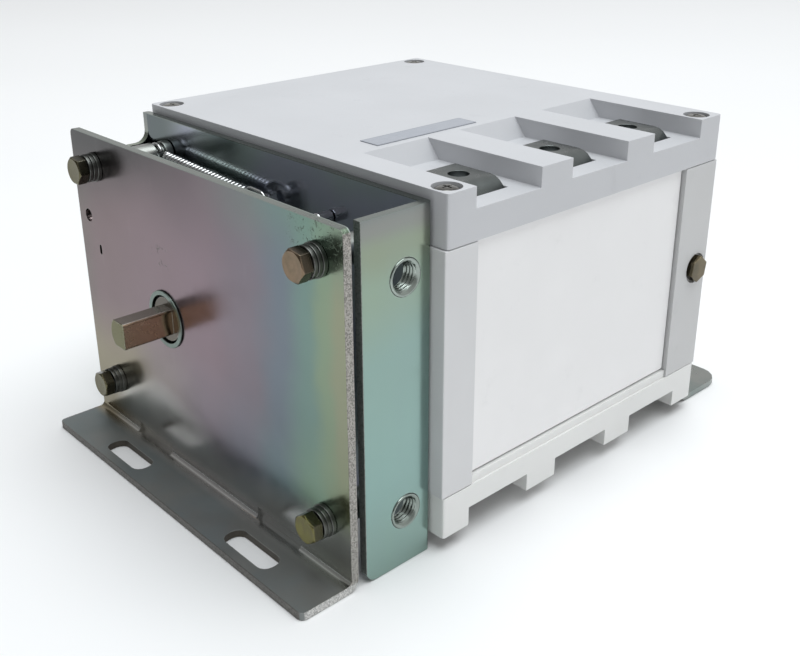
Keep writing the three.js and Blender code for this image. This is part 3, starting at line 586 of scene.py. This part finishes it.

# The last number of each plated finish brightens its edges, partly wear and partly a painted
# highlight.
FINISHES = {
    "cover_moulding": moulding("cover_satin", srgb("C4C5C8"), 0.42),
    "lower_cover": moulding("lower_cover_satin", srgb("E4E4E2"), 0.44),
    "rear_wall": moulding("rear_wall_satin", srgb("C6C6C6"), 0.46),
    "wall_moulding": moulding("wall_satin", srgb("D4D4D5"), 0.46),
    "side_panel": moulding("panel_satin", srgb("EDECEC"), 0.38, 0.06),
    "barrier_board": board("barrier_fibre"),
    "label": film_label(label_low, label_high),
    "plate_zinc": passivated_plate(plate_low, plate_high),
    "channel_zinc": passivated_channel(channel_low, channel_high),
    "foot_zinc": plated("foot_zinc_film", srgb("9A9C98"), 0.32, srgb("8A9390")),
    "bolt_zinc": plated("bolt_zinc_film", srgb("7C7059"), 0.22, srgb("585243"), 2.6),
    "washer_steel": plated("washer_film", srgb("6F706D"), 0.34, srgb("5A5B58"), 1.8),
    "shaft_steel": shaft_film(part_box("main_shaft")[0].y, TONGUE_TOP, plate_front),
    "bright_steel": plated("nickel", srgb("C3C4C4"), 0.15, srgb("B2B4B4"), 1.3),
    "head_zinc": head_film(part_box("plate_bolt_1")[0].y),
    "screw_zinc": plated("screw_zinc_film", srgb("9A9994"), 0.15, srgb("63625E"), 1.9),
    "nut_zinc": plated("nut_zinc_film", srgb("A3ACA5"), 0.24, srgb("8C958F"), 1.4),
    "bush_zinc": plated("bush_zinc_film", srgb("76837C"), 0.30, srgb("68736E"), 1.5),
    "terminal_tin": plated("terminal_tin", srgb("6C7170"), 0.30, srgb("5E6362"), 1.7),
    "contact_copper": plated("contact_copper", srgb("C98A66"), 0.30, srgb("B57A58"), 1.2),
    "carrier_moulding": moulding("carrier_red_brown", srgb("7A3529"), 0.48),
    "bearing_brass": plated("bearing_brass", srgb("C9AC6A"), 0.28, srgb("B4975A"), 1.2),
}
SLOT_OF = {part["node"]: part["material_slot"] for part in frame["record"]["subparts"]}


def paint(obj, finish):
    """A finish becomes an object's only material."""
    obj.data.materials.clear()
    obj.data.materials.append(FINISHES[finish])


# Nodes whose finish differs a little from their neighbours in the same material slot.
OWN_FINISH = {"bottom_cover": "lower_cover", "rear_wall": "rear_wall", "shaft_bush": "bush_zinc"}
for name, obj in nodes.items():
    paint(obj, OWN_FINISH.get(name, SLOT_OF[name]))

# ---------------------------------------------------------------- CAD nodes with rounded edges
ROUNDING = {
    "cover": 0.9, "front_wall": 0.7, "rear_wall": 0.7, "side_panel": 0.3, "phase_barrier": 0.15,
    "blank_label": 0.05, "front_plate": 0.35, "mechanism_channel": 0.35, "rear_foot": 0.35,
    "terminal": 0.3, "main_shaft": 0.5, "detent_wheel": 0.3, "detent_lever": 0.25,
    "detent_roller": 0.3, "lever_pivot_pin": 0.3, "stop_stud": 0.3, "standoff_post": 0.3,
    "bearing": 0.3, "shaft_bush": 0.25, "moving_contact": 0.3, "contact_carrier": 0.5,
    "side_bolt": 0.3,
}
for name in nodes:
    if "screw" in name:
        continue
    for part, width in ROUNDING.items():
        if part in name:
            soften(name, width, 3 if width > 0.5 else 2)
            break


# ---------------------------------------------------------------- fasteners and spring
def piece(obj, slot, body, *replaced, finish=None):
    """A new piece gets its finish (the slot's finish when none is given) and its body, and hides the
    CAD nodes it stands for.
    """
    paint(obj, finish or slot)
    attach(obj, body)
    if replaced:
        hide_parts(*replaced)


def hexagon_head(name, axis, centre, flats, low, high, turn):
    """A hexagon head from low to high along its axis, with the crown's chamfer at the high end."""
    half = flats / 2
    crown = half * 0.96
    sign = 1 if high > low else -1

    def radius(angle):
        local = (angle - turn) % (math.pi / 3) - math.pi / 6
        return half / math.cos(local)

    def ring(row, angle, r, h):
        if row in (0, 1):
            base = radius(angle) * (0.985 if row == 0 else 1.0)
            return base, h
        if row == 2:
            return radius(angle), high - sign * (radius(angle) - crown) * math.tan(math.radians(32))
        return r, h

    profile = [(half, low), (half, low + sign * 0.2), (half, high), (crown, high),
               (crown * 0.9, high - sign * 0.08), (crown * 0.3, high - sign * 0.14)]
    made = turned(name, profile, axis, centre, 72, ring)
    bevel(made, 0.12, 2, 28)
    return made


def split_washer(name, axis, centre, bore, outer, low, high, turn):
    """A coiled spring washer: one flat turn with a sloping gap and offset ends."""
    steps = 60
    verts = []
    faces = []
    thick = (high - low) * 0.84
    for i in range(steps + 1):
        share = i / steps
        angle = turn + math.radians(5) + share * math.radians(350)
        lift = (share - 0.5) * (high - low - thick)
        bottom = (low + high) / 2 - thick / 2 + lift
        top = bottom + thick
        for r, h in ((bore, bottom), (outer, bottom), (outer, top), (bore, top)):
            verts.append(along(axis, centre, r * math.cos(angle), r * math.sin(angle), h))
    for i in range(steps):
        for k in range(4):
            a = 4 * i + k
            b = 4 * i + (k + 1) % 4
            faces.append((a, b, b + 4, a + 4))
    faces.append((0, 1, 2, 3))
    faces.append(tuple(4 * steps + k for k in range(4)))
    made = mesh_object(name, verts, faces)
    bevel(made, 0.22, 2, 40)
    return made


def middle(node):
    """The centre of a CAD node in millimetres."""
    low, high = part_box(node)
    return (low + high) / 2 / MM


for number, turn in BOLT_TURNS.items():
    bolt = f"plate_bolt_{number}"
    washer = f"plate_washer_{number}"
    low, high = [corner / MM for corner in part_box(bolt)]
    washer_low, washer_high = [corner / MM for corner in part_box(washer)]
    centre = (middle(bolt).x, 0, middle(bolt).z)
    head = hexagon_head(f"bolt_head_{number}", "y", centre, HEAD_FLATS,
                        washer_low.y - HEAD_LIFT, low.y, math.radians(turn))
    piece(head, "bolt_zinc", "frame", bolt, finish="head_zinc")
    shank = turned(f"bolt_shank_{number}", [
        (SHANK - 0.5, high.y), (SHANK, high.y - 0.6), (SHANK, washer_low.y)], "y", centre, 40)
    piece(shank, "bolt_zinc", "frame")
    for k, outer in enumerate(WASHER_RADII):
        rear = washer_high.y - k * (FLAT_WASHER + 0.02)
        front = rear - FLAT_WASHER
        profile = [(WASHER_BORE, front), (outer - 0.12, front), (outer, front + 0.15),
                   (outer, rear - 0.12), (outer - 0.12, rear), (WASHER_BORE, rear)]
        flat = turned(f"flat_washer_{number}_{k + 1}", profile, "y", centre, 56, closed=True)
        bevel(flat, 0.08)
        piece(flat, "washer_steel", "frame", *([washer] if k == 0 else []))
    spring = split_washer(f"spring_washer_{number}", "y", centre, WASHER_BORE, WASHER_RADII[1],
                          washer_low.y, washer_high.y - 2 * FLAT_WASHER - 0.06,
                          math.radians(35 + 70 * number))
    piece(spring, "washer_steel", "frame")


def threaded_nut(node, number):
    """A press nut with a chamfered mouth and a real internal thread."""
    low, high = [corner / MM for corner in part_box(node)]
    centre = (0, middle(node).y, middle(node).z)
    pitch = 1.5
    rows_per_turn = 8
    bore, depth, outer, body = 4.75, 0.62, 6.5, 7.4
    thread_low, thread_high = low.x + 0.4, high.x - 0.9
    rows = int((thread_high - thread_low) / pitch * rows_per_turn)
    profile = [(bore + 0.8, low.x), (body, low.x), (body, NUT_SHOULDER), (outer, NUT_SHOULDER),
               (outer, high.x - 0.15), (outer - 0.15, high.x), (bore + 1.0, high.x),
               (bore + 0.35, high.x - 0.7)]
    start = len(profile)
    for i in range(rows + 1):
        profile.append((bore, thread_high - (thread_high - thread_low) * i / rows))
    end = len(profile)

    def ring(row, angle, r, h):
        if row < start or row >= end:
            return r, h
        phase = ((h / pitch) - angle / (2 * math.pi)) % 1.0
        ridge = 1 - abs(2 * phase - 1)
        return bore + depth * (1 - min(1.0, 1.25 * ridge)), h

    made = turned(f"thread_insert_{number}", profile, "x", centre, 56, ring, closed=True)
    for face in made.data.polygons:
        face.use_smooth = True
    made.modifiers.new("shading", "EDGE_SPLIT").split_angle = math.radians(50)
    piece(made, "bright_steel", "frame", node, finish="nut_zinc")


threaded_nut("press_nut_1", 1)
threaded_nut("press_nut_2", 2)


def cross_screw(name, node, slot, axis, side):
    """A pan head with a cross recess on a plain shank, in place of the CAD screw."""
    low, high = [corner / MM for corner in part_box(node)]
    centre = list(middle(node))
    index = "xyz".index(axis)
    top = high[index] if side > 0 else low[index]
    end = low[index] if side > 0 else high[index]
    centre[index] = 0
    reach = abs(top - end)
    dome = [(SCREW_SHANK - 0.3, reach), (SCREW_SHANK, reach - 0.6), (SCREW_SHANK, 2.72),
            (4.55, 2.72), (4.75, 2.5), (4.75, 1.9), (4.6, 1.35), (4.2, 0.85), (3.5, 0.42),
            (2.6, 0.16), (1.4, 0.03), (0.4, 0.0)]
    made = turned(name, [(r, top - side * h) for r, h in dome], axis, centre, 48)
    arms = []
    for u, v in ((2.35, 0.42), (0.42, 2.35)):
        corners = []
        for share, h in ((1.0, -0.5), (0.62, 1.75)):
            for a, b in ((-1, -1), (1, -1), (1, 1), (-1, 1)):
                corners.append(along(axis, centre, a * u * share, b * v * share, top - side * h))
        faces = [(0, 1, 2, 3), (4, 5, 6, 7), (0, 1, 5, 4), (1, 2, 6, 5), (2, 3, 7, 6), (3, 0, 4, 7)]
        arms.append(mesh_object(name + "_arm", corners, faces, smooth=False))
    for tool in arms:
        carve = made.modifiers.new("recess", "BOOLEAN")
        carve.operation = "DIFFERENCE"
        carve.solver = "EXACT"
        carve.object = tool
    bpy.context.view_layer.update()
    evaluated = made.evaluated_get(bpy.context.evaluated_depsgraph_get())
    carved = bpy.data.meshes.new_from_object(evaluated)
    made.modifiers.clear()
    made.data = carved
    for tool in arms:
        bpy.data.objects.remove(tool)
    bevel(made, 0.1, 2, 32)
    piece(made, slot, "frame", node, finish="screw_zinc")


for number in range(1, 5):
    cross_screw(f"top_screw_{number}", f"top_cover_screw_{number}", "bolt_zinc", "z", 1)
    cross_screw(f"bottom_screw_{number}", f"bottom_cover_screw_{number}", "bolt_zinc", "z", -1)
for word in ("left", "right"):
    cross_screw(f"rear_foot_screw_{word}", f"foot_screw_{word}", "bolt_zinc", "y", 1)


def extension_spring():
    """An extension spring: a loop round the grooved post, the coil, a hook on the lever's pin."""
    post = middle("standoff_post_3")
    start = Vector((post.x, SPRING_Y, post.z))
    end = Vector(LEVER_HOOK)
    ahead = (end - start).normalized()
    up = Vector((-ahead.z, 0, ahead.x))
    length = (end - start).length

    def at(distance, rise, side=0.0):
        return start + ahead * distance + up * rise + Vector((0, side, 0))

    loop, coil, wire = 4.2, 2.3, 0.72
    pitch = 2.2
    coil_start, coil_end = 7.6, length - 8.6
    turns = int((coil_end - coil_start) / pitch)
    points = []
    for k in range(24):
        angle = math.radians(-25 - 290 * k / 23)
        points.append(at(loop * math.cos(angle), -loop * math.sin(angle)))
    steps = 14
    for k in range(turns * steps + 1):
        angle = 2 * math.pi * k / steps
        share = k / (turns * steps)
        reach = coil_start + (coil_end - coil_start) * share
        points.append(at(reach, coil * math.cos(angle), coil * math.sin(angle)))
    hook = 3.4
    points.append(at(coil_end + 0.9, hook * 0.9))
    points.append(at(coil_end + 2.4, hook))
    bend = length - 0.8
    for k in range(13):
        angle = math.radians(90 - 15 * k)
        points.append(at(bend + hook * math.cos(angle), hook * math.sin(angle)))
    points.append(at(bend - 2.0, -hook * 0.97))
    points.append(at(bend - 3.6, -hook * 0.8))
    made = tube("coil_spring", points, wire, 8)
    paint(made, "bright_steel")
    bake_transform(made)
    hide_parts("detent_spring")


extension_spring()


# ---------------------------------------------------------------- floor, light and camera
def floor_disc():
    """A wide pale floor with a faint cloudy tone, painted paler away from the object as painted
    light that evens out the lamp's falloff.
    """
    work = bmesh.new()
    steps = 96
    turns = [2 * math.pi * k / steps for k in range(steps)]
    previous = None
    for radius in (0.4, 1.0, 2.5, 6.0):
        ring = [work.verts.new((radius * math.cos(a), radius * math.sin(a), FLOOR_Z)) for a in turns]
        if previous is None:
            work.faces.new(ring)
        else:
            for k in range(steps):
                after = (k + 1) % steps
                work.faces.new((previous[k], previous[after], ring[after], ring[k]))
        previous = ring
    bmesh.ops.recalc_face_normals(work, faces=work.faces)
    mesh = bpy.data.meshes.new("floor")
    work.to_mesh(mesh)
    work.free()
    floor = bpy.data.objects.new("floor", mesh)
    scene.collection.objects.link(floor)
    look = Look("floor_pale")
    clouds = look.window(look.noise(1.5, 2, 0.5), 0.3, 0.7)
    tone = look.mix(clouds, (0.87, 0.87, 0.87, 1), (0.89, 0.89, 0.89, 1))
    # Further from the object the floor is painted paler, painted light that evens out the lamp's
    # falloff.
    reach = look.add("VectorMath", {"operation": "LENGTH"})
    look.put(reach.inputs[0], look.place)
    tone = look.mix(look.window(reach.outputs["Value"], 0.5, 2.5), tone, (0.97, 0.97, 0.97, 1))
    look.bump(look.noise(300, 2, 0.5), 0.02, 0.0002)
    rough = look.window(look.noise(40, 3, 0.5), 0.3, 0.7, 0.75, 0.85)
    floor.data.materials.append(look.done(tone, rough, 0.0, Specular_IOR_Level=0.2))


def soft_light(name, place, target, size, power, colour):
    """A square area light that faces its target."""
    data = bpy.data.lights.new(name, "AREA")
    data.shape = "RECTANGLE"
    data.size = data.size_y = size
    data.energy = power
    data.color = colour
    light = bpy.data.objects.new(name, data)
    scene.collection.objects.link(light)
    light.location = place
    light.rotation_euler = (Vector(target) - Vector(place)).to_track_quat("-Z", "Y").to_euler()


def studio():
    """An even pale room, darker towards the drive end."""
    world = bpy.data.worlds.new("room")
    scene.world = world
    world.use_nodes = True
    tree = world.node_tree
    tree.nodes.clear()
    output = tree.nodes.new("ShaderNodeOutputWorld")
    background = tree.nodes.new("ShaderNodeBackground")
    ramp = tree.nodes.new("ShaderNodeValToRGB")
    ramp.color_ramp.elements[0].position = 0.2
    ramp.color_ramp.elements[0].color = (0.28, 0.28, 0.28, 1)
    ramp.color_ramp.elements[1].position = 0.75
    ramp.color_ramp.elements[1].color = (0.96, 0.96, 0.965, 1)
    parts = tree.nodes.new("ShaderNodeSeparateXYZ")
    place = tree.nodes.new("ShaderNodeTexCoord")
    shift = tree.nodes.new("ShaderNodeMapRange")
    shift.inputs["From Min"].default_value = -1.0
    shift.inputs["From Max"].default_value = 1.0
    tree.links.new(place.outputs["Generated"], parts.inputs["Vector"])
    tree.links.new(parts.outputs["Y"], shift.inputs["Value"])
    tree.links.new(shift.outputs[0], ramp.inputs["Fac"])
    tree.links.new(ramp.outputs["Color"], background.inputs["Color"])
    background.inputs["Strength"].default_value = 0.75
    tree.links.new(background.outputs[0], output.inputs["Surface"])
    soft_light("key", (0.40, 0.10, 2.6), (0, 0, 0.05), 2.4, 66.0, (0.93, 0.975, 1.0))


def camera():
    """The photograph's camera, solved from the case's corners in it."""
    data = bpy.data.cameras.new("camera")
    data.sensor_width = 36.0
    data.lens = 46.36
    data.shift_x = 0.008
    data.shift_y = -0.0575
    data.clip_start = 0.01
    data.clip_end = 50.0
    made = bpy.data.objects.new("camera", data)
    scene.collection.objects.link(made)
    heading = Matrix.Rotation(math.radians(47.64), 4, "Z")
    tilt = Matrix.Rotation(math.radians(67.72), 4, "X")
    roll = Matrix.Rotation(math.radians(-0.3615), 4, "Z")
    made.matrix_world = Matrix.Translation((0.30218, -0.28247, 0.22949)) @ heading @ tilt @ roll
    scene.camera = made


floor_disc()
studio()
camera()
scene.view_settings.view_transform = "Standard"
